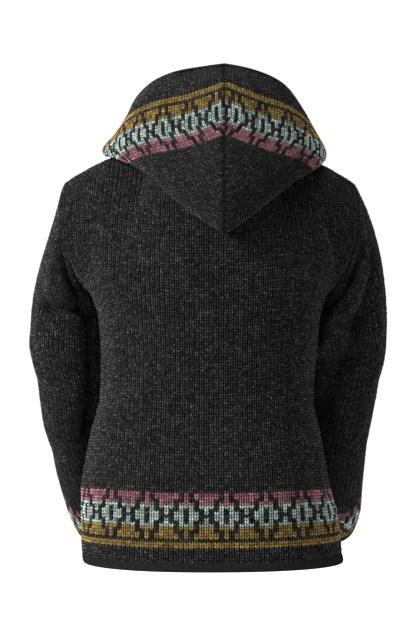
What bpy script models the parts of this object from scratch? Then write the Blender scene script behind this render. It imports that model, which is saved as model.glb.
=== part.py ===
"""Hooded sweater in chunky knit, filled out as if worn, with its hood down.

Metres, +Z up. The front of the garment faces -Y and the wearer's left is +X.
The origin is level with the shoulders, on the axis through the neck opening.
Every piece of cloth is a grid of points on its right side. Neighbouring
pieces share the points of their seam, so the walls of the whole garment are
turned inwards together, and each seam is then parted by a narrow gap.
"""

import math

import bpy
import numpy as np

# Driving sizes
KNIT_WALL = 0.0040
BINDING_WALL = 0.0050
SEAM_GAP = 0.0003
HEM_Z = -0.660
BINDING_HEIGHT = 0.0140
HEM_SEAM_Z = HEM_Z + BINDING_HEIGHT
UNDERARM_Z = -0.215
NECK_HALF_WIDTH = 0.085
NECK_BACK = 0.062
NECK_FRONT = 0.085
NECK_SIDE_Z = 0.033
NECK_BACK_Z = 0.020
NECK_FRONT_Z = -0.035
NECK_CURVE = 1.5
SHOULDER_TIP_X = 0.240
SHOULDER_TIP_Z = -0.028
SHOULDER_CROWN = 0.011
TORSO_ROUNDNESS = 2.25
HOOD_LEAN = -0.025
HOOD_LEAN_CURVE = 1.5

# Both sides of a seam split the faces of their rims from the point further this way
RIM_ORDER = (0.11, 0.37, 1.0)

# The neckline takes this many degrees of a panel's upper edge on each side of its centre
NECK_ANGLE = 45.0

# Counts of the grids
PANEL_COLUMNS = 24
NECK_COLUMN = round(PANEL_COLUMNS * (90.0 - NECK_ANGLE) / 180.0)
ROWS_BELOW_ARM = 15
ROWS_BESIDE_ARM = 12
CAP_ROWS = 6
ARM_ROWS = 14
BINDING_ROWS = 2
HOOD_COLUMNS = 12

# Torso sections, upwards: height, half-width left and right, depth back and front
TORSO_SECTIONS = (
    ("hem", HEM_Z, 0.2090, 0.2240, 0.143, 0.122),
    ("hem seam", HEM_SEAM_Z, 0.2110, 0.2210, 0.142, 0.121),
    ("band", -0.590, 0.2120, 0.2150, 0.139, 0.118),
    ("band top", -0.540, 0.2120, 0.2020, 0.136, 0.114),
    ("hip", -0.496, 0.2060, 0.1930, 0.130, 0.110),
    ("high hip", -0.444, 0.1960, 0.1840, 0.122, 0.108),
    ("waist", -0.390, 0.1820, 0.1730, 0.117, 0.108),
    ("ribs", -0.312, 0.1790, 0.1790, 0.122, 0.114),
    ("chest", -0.250, 0.1840, 0.1850, 0.128, 0.121),
    ("underarm", UNDERARM_Z, 0.1960, 0.1960, 0.133, 0.126),
)

# How each panel leaves the underarm line and reaches the shoulder or neck, from
# the centre out to the armhole: its pull sideways, out of the body, and upwards
PANEL_PULLS = {
    "back": (
        ("centre", 0.0, 0.000, 0.030, 0.200, 0.000, -0.185, 0.130),
        ("middle", 0.5, 0.050, 0.055, 0.200, 0.000, -0.220, 0.070),
        ("outer", 0.8, 0.090, 0.105, 0.175, -0.010, -0.215, 0.090),
        ("armhole", 1.0, 0.150, 0.175, 0.120, -0.040, -0.205, 0.110),
    ),
    "front": (
        ("centre", 0.0, 0.000, 0.030, 0.190, 0.000, -0.110, 0.140),
        ("middle", 0.5, 0.050, 0.050, 0.200, 0.000, -0.205, 0.070),
        ("outer", 0.8, 0.090, 0.100, 0.175, -0.010, -0.210, 0.090),
        ("armhole", 1.0, 0.150, 0.175, 0.120, -0.040, -0.205, 0.110),
    ),
}

# Sleeve sections, downwards: centre (left, right), depth, height, half-width, half-depth
SLEEVE_SECTIONS = (
    ("upper arm", 0.2405, 0.2405, -0.034, -0.262, 0.0590, 0.0590),
    ("above elbow", 0.2385, 0.2365, -0.046, -0.312, 0.0615, 0.0570),
    ("elbow", 0.2330, 0.2300, -0.058, -0.360, 0.0580, 0.0550),
    ("below elbow", 0.2350, 0.2290, -0.080, -0.420, 0.0500, 0.0520),
    ("forearm", 0.2290, 0.2265, -0.112, -0.480, 0.0445, 0.0480),
    ("wrist", 0.2190, 0.2265, -0.150, -0.537, 0.0425, 0.0450),
    ("cuff", 0.2090, 0.2280, -0.195, -0.590, 0.0410, 0.0430),
    ("cuff seam", 0.2040, 0.2270, -0.250, -0.617, 0.0400, 0.0420),
    ("cuff end", 0.2030, 0.2265, -0.266, -0.624, 0.0400, 0.0420),
)
CAP_START_PULL = {"left": (0.21, 0.0, -0.97), "right": (0.50, 0.0, -0.87)}
UNDERARM_PULL = (0.0, -0.30, -0.95)
CAP_END_PULL = (0.0, 0.0, -1.0)

# Hood profiles by azimuth: 0 centre back, 180 centre front, + the wearer's left.
# Rise of the stand, then distance from the neck axis and height of the lowest
# fold, the belly of the slouch, the upper layer and the rolled face edge
HOOD_PROFILES = (
    ("front right", -180, 0.008, 0.100, -0.012, 0.106, 0.002, 0.108, 0.016, 0.104, 0.029),
    ("collar right", -135, 0.015, 0.132, 0.022, 0.144, 0.034, 0.140, 0.052, 0.126, 0.070),
    ("side right", -90, 0.018, 0.189, 0.009, 0.193, 0.022, 0.169, 0.058, 0.146, 0.098),
    ("shoulder right", -65, 0.019, 0.180, -0.012, 0.188, 0.008, 0.158, 0.083, 0.129, 0.125),
    ("blade right", -45, 0.020, 0.166, -0.038, 0.180, -0.010, 0.146, 0.102, 0.112, 0.140),
    ("back right", -24, 0.020, 0.156, -0.078, 0.172, -0.044, 0.130, 0.117, 0.096, 0.150),
    ("centre back", 0, 0.020, 0.162, -0.124, 0.182, -0.080, 0.128, 0.126, 0.086, 0.157),
    ("back left", 24, 0.020, 0.153, -0.078, 0.170, -0.044, 0.125, 0.119, 0.091, 0.152),
    ("blade left", 45, 0.020, 0.154, -0.031, 0.170, -0.004, 0.134, 0.110, 0.100, 0.147),
    ("shoulder left", 65, 0.019, 0.162, -0.001, 0.173, 0.017, 0.144, 0.094, 0.112, 0.135),
    ("side left", 90, 0.018, 0.172, 0.015, 0.178, 0.027, 0.149, 0.058, 0.127, 0.104),
    ("collar left", 135, 0.015, 0.129, 0.022, 0.140, 0.034, 0.136, 0.052, 0.122, 0.070),
    ("front left", 180, 0.008, 0.100, -0.012, 0.106, 0.002, 0.108, 0.016, 0.104, 0.029),
)
STAND_LEAN = 0.45
DROP_BULGE = 0.003
# Rows of the hood between neck, stand, drop, fold, belly, upper layer and face edge
HOOD_STEPS = (2, 3, 5, 4, 5, 4)
ROLL_DEPTH = 0.0165
ROLL_DROP = 0.0010
ROLL_END_PULL = (-0.7, -0.7)

# Creases: piece, start and end as (row share, column share), half-width, rise (+) or trough (-)
CREASES = (
    ("sleeve_left", 0.32, 0.08, 0.29, 0.38, 0.028, -0.0070),
    ("sleeve_left", 0.40, 0.02, 0.37, 0.34, 0.034, 0.0035),
    ("sleeve_left", 0.45, 0.45, 0.52, 0.15, 0.030, -0.0040),
    ("sleeve_left", 0.62, 0.30, 0.70, 0.05, 0.035, -0.0035),
    ("sleeve_left", 0.40, 0.60, 0.46, 0.95, 0.032, -0.0050),
    ("sleeve_right", 0.22, 0.37, 0.62, 0.33, 0.030, 0.0050),
    ("sleeve_right", 0.26, 0.10, 0.50, 0.08, 0.032, 0.0040),
    ("sleeve_right", 0.26, 0.23, 0.46, 0.20, 0.034, -0.0050),
    ("sleeve_right", 0.50, 0.40, 0.58, 0.12, 0.030, -0.0040),
    ("sleeve_right", 0.40, 0.60, 0.46, 0.95, 0.032, -0.0050),
    ("back_panel", 0.70, 0.09, 0.82, 0.13, 0.035, -0.0050),
    ("back_panel", 0.64, 0.86, 0.76, 0.93, 0.035, -0.0040),
    ("back_panel", 0.36, 0.05, 0.44, 0.30, 0.045, -0.0040),
    ("back_panel", 0.34, 0.95, 0.42, 0.74, 0.045, -0.0040),
    ("front_panel", 0.36, 0.05, 0.44, 0.30, 0.045, -0.0040),
    ("front_panel", 0.34, 0.95, 0.42, 0.74, 0.045, -0.0040),
    ("front_panel", 0.64, 0.12, 0.78, 0.20, 0.040, -0.0045),
    ("front_panel", 0.64, 0.88, 0.78, 0.80, 0.040, -0.0045),
)

# Creases fade out over these shares of the piece before its seams
ROW_FADE = 0.125
COLUMN_FADE = 0.10

# Step along the sleeve's stations that its direction is read over
SLEEVE_LOOK = 0.05

# Points this close together, as counts in a metre, are one point of a seam
SEAM_MARKS = 1e5
SHARP_ANGLE = 50.0

# Colours of the knit and of the jersey binding
WOOL_COLOUR = (0.035, 0.036, 0.038, 1.0)
JERSEY_COLOUR = (0.012, 0.012, 0.013, 1.0)
WOOL_ROUGHNESS = 0.92
JERSEY_ROUGHNESS = 0.80


def hermite(start, end, start_pull, end_pull, share):
    """Runs a cubic from start to end, leaving and arriving along the two pulls."""
    s2 = share * share
    s3 = s2 * share
    line = start * (2 * s3 - 3 * s2 + 1) + end * (3 * s2 - 2 * s3)
    return line + start_pull * (s3 - 2 * s2 + share) + end_pull * (s3 - s2)


def smooth(stations, values, where):
    """Runs a smooth curve through a table's values, with no overshoot."""
    xs = np.asarray(stations, dtype=float)
    ys = np.asarray(values, dtype=float)
    step = np.diff(xs)
    rise = np.diff(ys) / step
    product = rise[:-1] * rise[1:]
    total = np.where(product > 0, rise[:-1] + rise[1:], 1.0)
    slope = np.concatenate([[rise[0]], np.where(product > 0, 2 * product / total, 0.0), [rise[-1]]])
    x = np.clip(where, xs[0], xs[-1])
    i = np.clip(np.searchsorted(xs, x) - 1, 0, len(step) - 1)
    share = (x - xs[i]) / step[i]
    return hermite(ys[i], ys[i + 1], slope[i] * step[i], slope[i + 1] * step[i], share)


def column(table, index):
    """Reads one numeric column of a table whose rows start with a name."""
    return [row[index] for row in table]


def unit(vectors):
    """Scales vectors to length 1."""
    return vectors / np.maximum(np.linalg.norm(vectors, axis=-1, keepdims=True), 1e-12)


class Panel:
    """One piece of cloth: the points of its right side, rows by columns."""

    def __init__(self, name, points, closed=False, mirrored=False, wall=KNIT_WALL):
        self.name = name
        self.points = points
        self.closed = closed
        self.mirrored = mirrored
        self.wall = wall
        self.shift = np.zeros_like(points)

    def corner_normals(self):
        """Gives each point the sum of its faces' normals, weighted by area."""
        p = self.points
        if self.closed:
            p = np.concatenate([p, p[:, :1]], axis=1)
        across = p[1:, 1:] - p[:-1, :-1]
        other = p[1:, :-1] - p[:-1, 1:]
        face = np.cross(other, across)
        if self.mirrored:
            face = -face
        total = np.zeros_like(p)
        for rows in (slice(0, -1), slice(1, None)):
            for cols in (slice(0, -1), slice(1, None)):
                total[rows, cols] += face
        if self.closed:
            total[:, 0] += total[:, -1]
            total = total[:, :-1]
        return total


def torso_ring(z, azimuth):
    """Gives the torso's points at a height, for azimuths from 0 at centre back."""
    heights = column(TORSO_SECTIONS, 1)
    sine = np.sin(np.radians(azimuth))
    cosine = np.cos(np.radians(azimuth))
    left = smooth(heights, column(TORSO_SECTIONS, 2), z)
    right = smooth(heights, column(TORSO_SECTIONS, 3), z)
    back = smooth(heights, column(TORSO_SECTIONS, 4), z)
    front = smooth(heights, column(TORSO_SECTIONS, 5), z)
    power = 2.0 / TORSO_ROUNDNESS
    x = np.where(sine > 0, left, right) * np.sign(sine) * np.abs(sine) ** power
    y = np.where(cosine > 0, back, front) * np.sign(cosine) * np.abs(cosine) ** power
    y = np.where(np.abs(cosine) < 1e-9, 0.0, y)
    return np.stack([x, y, z + 0 * x], axis=-1)


def neck_point(azimuth):
    """Gives the neckline's points, for azimuths from 0 at centre back."""
    sine = np.sin(np.radians(azimuth))
    cosine = np.cos(np.radians(azimuth))
    depth = np.where(cosine > 0, NECK_BACK, NECK_FRONT)
    low = np.where(cosine > 0, NECK_BACK_Z, NECK_FRONT_Z)
    y = depth * cosine
    y = np.where(np.abs(cosine) < 1e-9, 0.0, y)
    z = NECK_SIDE_Z + (low - NECK_SIDE_Z) * np.abs(cosine) ** NECK_CURVE
    return np.stack([NECK_HALF_WIDTH * sine, y, z], axis=-1)


def panel_top(azimuth, side):
    """Gives a panel's upper edge: the neckline in the middle, then the shoulder seams."""
    local = azimuth if side == "back" else azimuth - 180
    share = np.clip((np.abs(local) - NECK_ANGLE) / (90 - NECK_ANGLE), 0, 1)
    stretch = 90 / NECK_ANGLE
    neck = neck_point(np.clip(stretch * local, -90, 90) + (0 if side == "back" else 180))
    across = np.sign(np.sin(np.radians(azimuth)))
    x = across * (NECK_HALF_WIDTH + (SHOULDER_TIP_X - NECK_HALF_WIDTH) * share)
    z = NECK_SIDE_Z + (SHOULDER_TIP_Z - NECK_SIDE_Z) * share + SHOULDER_CROWN * np.sin(math.pi * share)
    shoulder = np.stack([x, 0 * x, z], axis=-1)
    return np.where((share > 0)[..., None], shoulder, neck)


def panel_points(side, azimuth, share):
    """Gives a panel's points: share -1 at the hem seam, 0 at the underarm, 1 on top."""
    low = torso_ring(UNDERARM_Z + (UNDERARM_Z - HEM_SEAM_Z) * np.minimum(share, 0), azimuth)
    top = panel_top(azimuth, side)
    pulls = PANEL_PULLS[side]
    edge = np.abs(azimuth if side == "back" else azimuth - 180) / 90
    out = [smooth(column(pulls, 1), column(pulls, k), edge) for k in range(2, 8)]
    across = np.sign(np.sin(np.radians(azimuth)))
    away = 1.0 if side == "back" else -1.0
    start_pull = np.stack([across * out[0], away * out[1], out[2]], axis=-1)
    end_pull = np.stack([across * out[3], away * out[4], out[5]], axis=-1)
    base = torso_ring(np.full_like(azimuth, UNDERARM_Z), azimuth)
    high = hermite(base, top, start_pull, end_pull, np.clip(share, 0, 1)[..., None])
    return np.where((share > 0)[..., None], high, low)


def make_panel(side):
    """Builds the back or the front panel."""
    first = -90.0 if side == "back" else 90.0
    azimuth = first + np.arange(PANEL_COLUMNS + 1) * (180.0 / PANEL_COLUMNS)
    below = np.arange(ROWS_BELOW_ARM) / ROWS_BELOW_ARM - 1
    beside = np.arange(ROWS_BESIDE_ARM + 1) / ROWS_BESIDE_ARM
    share, azimuth = np.meshgrid(np.concatenate([below, beside]), azimuth, indexing="ij")
    return Panel(side + "_panel", panel_points(side, azimuth, share))


def sleeve_frame(station, hand):
    """Gives the centre, outward and backward directions and half-sizes of the sleeve."""
    table = SLEEVE_SECTIONS
    stations = np.arange(len(table))
    x_column = 1 if hand == "left" else 2
    sign = 1.0 if hand == "left" else -1.0

    def centre(where):
        """Gives the middle of the sleeve at a station."""
        parts = [smooth(stations, column(table, k), where) for k in (x_column, 3, 4)]
        return np.stack([sign * parts[0], parts[1], parts[2]], axis=-1)

    run = unit(centre(station + SLEEVE_LOOK) - centre(station - SLEEVE_LOOK))
    outward = unit(np.array([sign, 0.0, 0.0]) - run * (run[..., :1] * sign))
    backward = unit(np.cross(run, outward) * -sign)
    wide = smooth(stations, column(table, 5), station)
    deep = smooth(stations, column(table, 6), station)
    return centre(station), outward, backward, wide, deep


def sleeve_ring(station, hand):
    """Gives one ring of the sleeve: outer side first, then back, inner side and front."""
    centre, outward, backward, wide, deep = sleeve_frame(np.array(float(station)), hand)
    turn = np.arange(PANEL_COLUMNS) * (2 * math.pi / PANEL_COLUMNS)
    return centre + np.cos(turn)[:, None] * outward * wide + np.sin(turn)[:, None] * backward * deep


def armhole(back, front, hand):
    """Gives the armhole's points: shoulder tip, down the back, underarm, up the front."""
    rows = range(ROWS_BELOW_ARM + ROWS_BESIDE_ARM, ROWS_BELOW_ARM - 1, -1)
    back_column = PANEL_COLUMNS if hand == "left" else 0
    front_column = 0 if hand == "left" else PANEL_COLUMNS
    down = [(back, row, back_column) for row in rows]
    up = [(front, row, front_column) for row in reversed(rows)]
    return down, up


def make_sleeve(back, front, hand):
    """Builds a sleeve from the armhole to the cuff seam, and its cuff binding."""
    down, up = armhole(back, front, hand)
    loop = np.array([p.points[r, c] for p, r, c in down[:-1] + up[:-1]])
    sign = 1.0 if hand == "left" else -1.0
    first = sleeve_ring(0, hand)
    reach = np.linalg.norm(first - loop, axis=-1, keepdims=True)
    turn = np.arange(PANEL_COLUMNS) * (2 * math.pi / PANEL_COLUMNS)
    outer = ((1 + np.cos(turn)) / 2)[:, None]
    pull = outer * np.array(CAP_START_PULL[hand]) + (1 - outer) * np.array(UNDERARM_PULL)
    start_pull = reach * pull * np.array([sign, 1.0, 1.0])
    end_pull = reach * np.array(CAP_END_PULL)
    rows = [hermite(loop, first, start_pull, end_pull, i / CAP_ROWS) for i in range(CAP_ROWS)]
    seam_station = len(SLEEVE_SECTIONS) - 2
    rows += [sleeve_ring(seam_station * i / ARM_ROWS, hand) for i in range(ARM_ROWS + 1)]
    cuff = [sleeve_ring(seam_station + i / BINDING_ROWS, hand) for i in range(BINDING_ROWS + 1)]
    mirrored = hand == "right"
    sleeve = Panel("sleeve_" + hand, np.array(rows), True, mirrored)
    binding = Panel("cuff_binding_" + hand, np.array(cuff), True, mirrored, BINDING_WALL)
    return sleeve, binding


def catmull(knots, steps):
    """Runs a curve through knots, spaced by the root of their distance, with set steps."""
    gaps = np.sqrt(np.linalg.norm(np.diff(knots, axis=0), axis=1))
    times = np.concatenate([[0], np.cumsum(gaps)])
    slopes = np.empty_like(knots)
    rates = np.diff(knots, axis=0) / gaps[:, None]
    slopes[0] = rates[0]
    slopes[-1] = rates[-1]
    for k in range(1, len(knots) - 1):
        before, after = gaps[k - 1], gaps[k]
        slopes[k] = (rates[k - 1] * after + rates[k] * before) / (before + after)
    points = []
    for k, count in enumerate(steps):
        width = times[k + 1] - times[k]
        for i in range(count):
            points.append(hermite(knots[k], knots[k + 1], slopes[k] * width, slopes[k + 1] * width, i / count))
    points.append(knots[-1])
    return np.array(points)


def hood_knots(azimuth):
    """Gives the hood's profile at an azimuth as distance from the neck axis and height."""
    # Each half has a curve of its own, so the halves meet at an angle along the crown seam
    half = [row for row in HOOD_PROFILES if row[1] * azimuth >= 0]
    value = [smooth(column(half, 1), column(half, k), azimuth) for k in range(2, 11)]
    neck = neck_point(azimuth)
    seam = np.array([math.hypot(neck[0], neck[1]), neck[2]])
    stand = seam + np.array([STAND_LEAN * value[0], value[0]])
    fold = np.array(value[1:3])
    drop = (stand + fold) / 2 + np.array([DROP_BULGE, DROP_BULGE])
    return np.array([seam, stand, drop, fold, value[3:5], value[5:7], value[7:9]])


def hood_place(azimuth, profile, lean):
    """Stands a profile up at its azimuth, from the neckline's own direction outwards."""
    neck = neck_point(azimuth)
    nominal = math.radians(azimuth)
    offset = math.atan2(neck[0], neck[1]) - nominal
    offset = math.remainder(offset, 2 * math.pi)
    turn = nominal + offset * (1 - lean)
    shift = HOOD_LEAN * lean * max(math.cos(nominal), 0.0)
    x = profile[:, 0] * np.sin(turn) + shift
    y = profile[:, 0] * np.cos(turn)
    return np.stack([x, y, profile[:, 1]], axis=-1)


def hood_column(azimuth):
    """Gives one column of the hood, from the neck seam to the face edge."""
    profile = catmull(hood_knots(azimuth), HOOD_STEPS)
    rows = np.arange(len(profile))
    lean = np.clip(rows / sum(HOOD_STEPS[:3]), 0, 1) ** HOOD_LEAN_CURVE
    return hood_place(azimuth, profile, lean)


def roll_column(azimuth):
    """Gives the binding at the face edge, which rolls in towards the neck."""
    edge = hood_knots(azimuth)[-2:]
    run = unit(edge[1] - edge[0])
    end = edge[1] + np.array([-ROLL_DEPTH, -ROLL_DROP])
    share = np.linspace(0, 1, BINDING_ROWS + 2)[:, None]
    end_pull = np.array(ROLL_END_PULL) * BINDING_HEIGHT
    profile = hermite(edge[1], end, run * BINDING_HEIGHT, end_pull, share)
    return hood_place(azimuth, profile, np.ones(len(profile)))


def make_hood():
    """Builds the two halves of the hood and the binding round its face edge."""
    pieces = []
    step = 180.0 / HOOD_COLUMNS
    for name, first in (("hood_right", -180.0), ("hood_left", 0.0)):
        columns = [hood_column(first + step * i) for i in range(HOOD_COLUMNS + 1)]
        pieces.append(Panel(name, np.array(columns).transpose(1, 0, 2)))
    rolls = [roll_column(-180.0 + step * i) for i in range(2 * HOOD_COLUMNS)]
    pieces.append(Panel("hood_binding", np.array(rolls).transpose(1, 0, 2), True, False, BINDING_WALL))
    return pieces


def make_hem_binding(side):
    """Builds the hem binding of one panel."""
    first = -90.0 if side == "back" else 90.0
    azimuth = first + np.arange(PANEL_COLUMNS + 1) * (180.0 / PANEL_COLUMNS)
    heights = np.linspace(HEM_Z, HEM_SEAM_Z, BINDING_ROWS + 1)
    z, azimuth = np.meshgrid(heights, azimuth, indexing="ij")
    return Panel("hem_binding_" + side, torso_ring(z, azimuth), False, False, BINDING_WALL)


def crease(panel):
    """Presses a panel's folds into its points, fading out before its seams."""
    rows, cols = panel.points.shape[:2]
    row_share = np.arange(rows)[:, None] / (rows - 1)
    col_share = np.arange(cols)[None, :] / (cols if panel.closed else cols - 1)
    height = np.zeros((rows, cols))
    size = np.linalg.norm(panel.points[-1, cols // 2] - panel.points[0, cols // 2])
    girth = np.linalg.norm(np.diff(panel.points[rows // 2], axis=0), axis=1).sum()
    for name, row0, col0, row1, col1, half_width, rise in CREASES:
        if name != panel.name:
            continue
        along = np.array([(row1 - row0) * size, (col1 - col0) * girth])
        dr = (row_share - row0) * size
        middle = (col0 + col1) / 2
        wrapped = (col_share - middle + 0.5) % 1.0 - 0.5 + middle if panel.closed else col_share
        dc = (wrapped - col0) * girth
        share = np.clip((dr * along[0] + dc * along[1]) / along.dot(along), 0, 1)
        off = np.hypot(dr - share * along[0], dc - share * along[1]) / half_width
        height += rise * np.exp(-2 * off * off)
    fade = np.minimum(1, np.minimum(row_share, 1 - row_share) / ROW_FADE)
    if not panel.closed:
        fade = fade * np.minimum(1, np.minimum(col_share, 1 - col_share) / COLUMN_FADE)
    panel.points = panel.points + unit(panel.corner_normals()) * (height * fade)[..., None]


def edge_refs(panel, side, start=0, stop=None):
    """Lists the points of a panel's edge, each with its neighbour inside the cloth."""
    rows, cols = panel.points.shape[:2]
    if side in ("bottom", "top"):
        row = 0 if side == "bottom" else rows - 1
        inner = 1 if side == "bottom" else rows - 2
        stop = cols if stop is None else stop
        return [((row, c), (inner, c)) for c in range(start, stop)]
    col = 0 if side == "first" else cols - 1
    inner = 1 if side == "first" else cols - 2
    stop = rows if stop is None else stop
    return [((r, col), (r, inner)) for r in range(start, stop)]


def part_seam(a, refs_a, b, refs_b):
    """Parts two pieces at their seam by half a gap each way, square to the seam."""
    line = np.array([a.points[at] for at, inner in refs_a])
    runs = unit(np.gradient(line, axis=0))
    for (at_a, in_a), (at_b, in_b), run in zip(refs_a, refs_b, runs, strict=True):
        into_a = a.points[in_a] - a.points[at_a]
        into_b = b.points[in_b] - b.points[at_b]
        square_a = unit(into_a - run * into_a.dot(run))
        square_b = unit(into_b - run * into_b.dot(run))
        apart = unit(square_a - square_b) * (SEAM_GAP / 2)
        a.shift[at_a] += apart
        b.shift[at_b] -= apart


def sew_garment(piece):
    """Parts every seam of the garment."""
    back, front = piece["back_panel"], piece["front_panel"]
    low, high = ROWS_BELOW_ARM, ROWS_BELOW_ARM + ROWS_BESIDE_ARM
    last, neck = PANEL_COLUMNS, NECK_COLUMN
    part_seam(back, edge_refs(back, "last", 0, low + 1), front, edge_refs(front, "first", 0, low + 1))
    part_seam(back, edge_refs(back, "first", 0, low + 1), front, edge_refs(front, "last", 0, low + 1))
    tops = edge_refs(front, "top")
    part_seam(back, edge_refs(back, "top", last - neck), front, tops[neck::-1])
    part_seam(back, edge_refs(back, "top", 0, neck + 1), front, tops[: last - neck - 1 : -1])
    for hand, back_side, front_side in (("left", "last", "first"), ("right", "first", "last")):
        sleeve = piece["sleeve_" + hand]
        ring = edge_refs(sleeve, "bottom") + edge_refs(sleeve, "bottom", 0, 1)
        half = ROWS_BESIDE_ARM
        down = edge_refs(back, back_side, low, high + 1)[::-1]
        up = edge_refs(front, front_side, low, high + 1)
        part_seam(back, down, sleeve, ring[: half + 1])
        part_seam(front, up, sleeve, ring[half:])
        cuff = piece["cuff_binding_" + hand]
        part_seam(sleeve, edge_refs(sleeve, "top"), cuff, edge_refs(cuff, "bottom"))
    right, left, roll = piece["hood_right"], piece["hood_left"], piece["hood_binding"]
    quarter, half = HOOD_COLUMNS // 2, HOOD_COLUMNS
    back_neck = edge_refs(back, "top", neck, last - neck + 1)
    front_neck = tops[neck : last - neck + 1]
    part_seam(back, back_neck[: quarter + 1], right, edge_refs(right, "bottom", quarter))
    part_seam(back, back_neck[quarter:], left, edge_refs(left, "bottom", 0, quarter + 1))
    part_seam(front, front_neck[: quarter + 1], left, edge_refs(left, "bottom", quarter))
    part_seam(front, front_neck[quarter:], right, edge_refs(right, "bottom", 0, quarter + 1))
    part_seam(right, edge_refs(right, "last"), left, edge_refs(left, "first"))
    part_seam(left, edge_refs(left, "last"), right, edge_refs(right, "first"))
    ring = edge_refs(roll, "bottom") + edge_refs(roll, "bottom", 0, 1)
    part_seam(right, edge_refs(right, "top"), roll, ring[: half + 1])
    part_seam(left, edge_refs(left, "top"), roll, ring[half:])
    hem_back, hem_front = piece["hem_binding_back"], piece["hem_binding_front"]
    part_seam(back, edge_refs(back, "bottom"), hem_back, edge_refs(hem_back, "top"))
    part_seam(front, edge_refs(front, "bottom"), hem_front, edge_refs(hem_front, "top"))
    part_seam(hem_back, edge_refs(hem_back, "last"), hem_front, edge_refs(hem_front, "first"))
    part_seam(hem_back, edge_refs(hem_back, "first"), hem_front, edge_refs(hem_front, "last"))


def shared_normals(pieces):
    """Adds up the normals of all pieces at each point that they share."""
    total = {}
    for piece in pieces:
        keys = np.round(piece.points * SEAM_MARKS).astype(int).reshape(-1, 3)
        sums = piece.corner_normals().reshape(-1, 3)
        for key, value in zip(map(tuple, keys), sums):
            total[key] = total.get(key, 0) + value
    for piece in pieces:
        keys = np.round(piece.points * SEAM_MARKS).astype(int).reshape(-1, 3)
        piece.normals = unit(np.array([total[tuple(k)] for k in keys])).reshape(piece.points.shape)


def shell_faces(points, closed, mirrored):
    """Lists the faces of a wall: right side, wrong side and the rims between them."""
    rows, cols = points.shape[:2]
    order = points.reshape(-1, 3) @ np.array(RIM_ORDER)
    count = rows * cols
    wrap = cols if closed else cols - 1

    def at(row, col):
        """Gives the number of a point of the right side."""
        return row * cols + col % cols

    faces = []
    for r in range(rows - 1):
        for c in range(wrap):
            corners = [at(r, c), at(r + 1, c), at(r + 1, c + 1), at(r, c + 1)]
            if c >= cols / 2:
                corners = corners[1:] + corners[:1]
            for face in (corners[:3], [corners[0]] + corners[2:]):
                faces.append(face)
                faces.append([count + v for v in reversed(face)])
    rims = [(at(0, c), at(0, c + 1)) for c in range(wrap)]
    rims += [(at(rows - 1, c + 1), at(rows - 1, c)) for c in range(wrap)]
    if not closed:
        rims += [(at(r + 1, 0), at(r, 0)) for r in range(rows - 1)]
        rims += [(at(r, cols - 1), at(r + 1, cols - 1)) for r in range(rows - 1)]
    for a, b in rims:
        if order[a] > order[b]:
            faces += [[a, b, count + b], [a, count + b, count + a]]
        else:
            faces += [[a, b, count + a], [b, count + b, count + a]]
    if mirrored:
        faces = [list(reversed(face)) for face in faces]
    return faces


def finish(name, colour, roughness):
    """Makes a plain cloth material."""
    material = bpy.data.materials.new(name)
    material.use_nodes = True
    shader = material.node_tree.nodes["Principled BSDF"]
    shader.inputs["Base Color"].default_value = colour
    shader.inputs["Roughness"].default_value = roughness
    shader.inputs["Metallic"].default_value = 0.0
    material.diffuse_color = colour
    return material


def build_object(piece):
    """Turns a piece of cloth into one closed solid with its wall thickness."""
    outer = piece.points + piece.shift
    inner = outer - piece.normals * piece.wall
    points = np.concatenate([outer.reshape(-1, 3), inner.reshape(-1, 3)])
    mesh = bpy.data.meshes.new(piece.name)
    mesh.from_pydata(points.tolist(), [], shell_faces(piece.points, piece.closed, piece.mirrored))
    mesh.shade_smooth()
    mesh.set_sharp_from_angle(angle=math.radians(SHARP_ANGLE))
    obj = bpy.data.objects.new(piece.name, mesh)
    bpy.context.scene.collection.objects.link(obj)
    if piece.wall == BINDING_WALL:
        mesh.materials.append(finish(piece.name + "_jersey", JERSEY_COLOUR, JERSEY_ROUGHNESS))
    else:
        mesh.materials.append(finish(piece.name + "_knit", WOOL_COLOUR, WOOL_ROUGHNESS))
    return obj


def main():
    """Builds every piece of the sweater."""
    for obj in list(bpy.data.objects):
        bpy.data.objects.remove(obj, do_unlink=True)
    back, front = make_panel("back"), make_panel("front")
    pieces = [back, front]
    for hand in ("left", "right"):
        pieces += make_sleeve(back, front, hand)
    pieces += make_hood()
    pieces += [make_hem_binding("back"), make_hem_binding("front")]
    for piece in pieces:
        crease(piece)
    shared_normals(pieces)
    sew_garment({piece.name: piece for piece in pieces})
    for piece in pieces:
        build_object(piece)


main()
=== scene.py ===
"""Looks of a hooded sweater in chunky knit, filled out as if worn, with its hood down.

Metres, +Z up. The front of the garment faces -Y and the wearer's left is +X.
Each piece of cloth starts as a form, a close grid of points in the shape of its
solid. Rows and wales of real size are laid over the form, every stitch gets its
relief, and the bands of colour are knitted in from a chart of one repeat.
"""

import logging
import math
import sys
from dataclasses import dataclass, field
from enum import Enum

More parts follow.
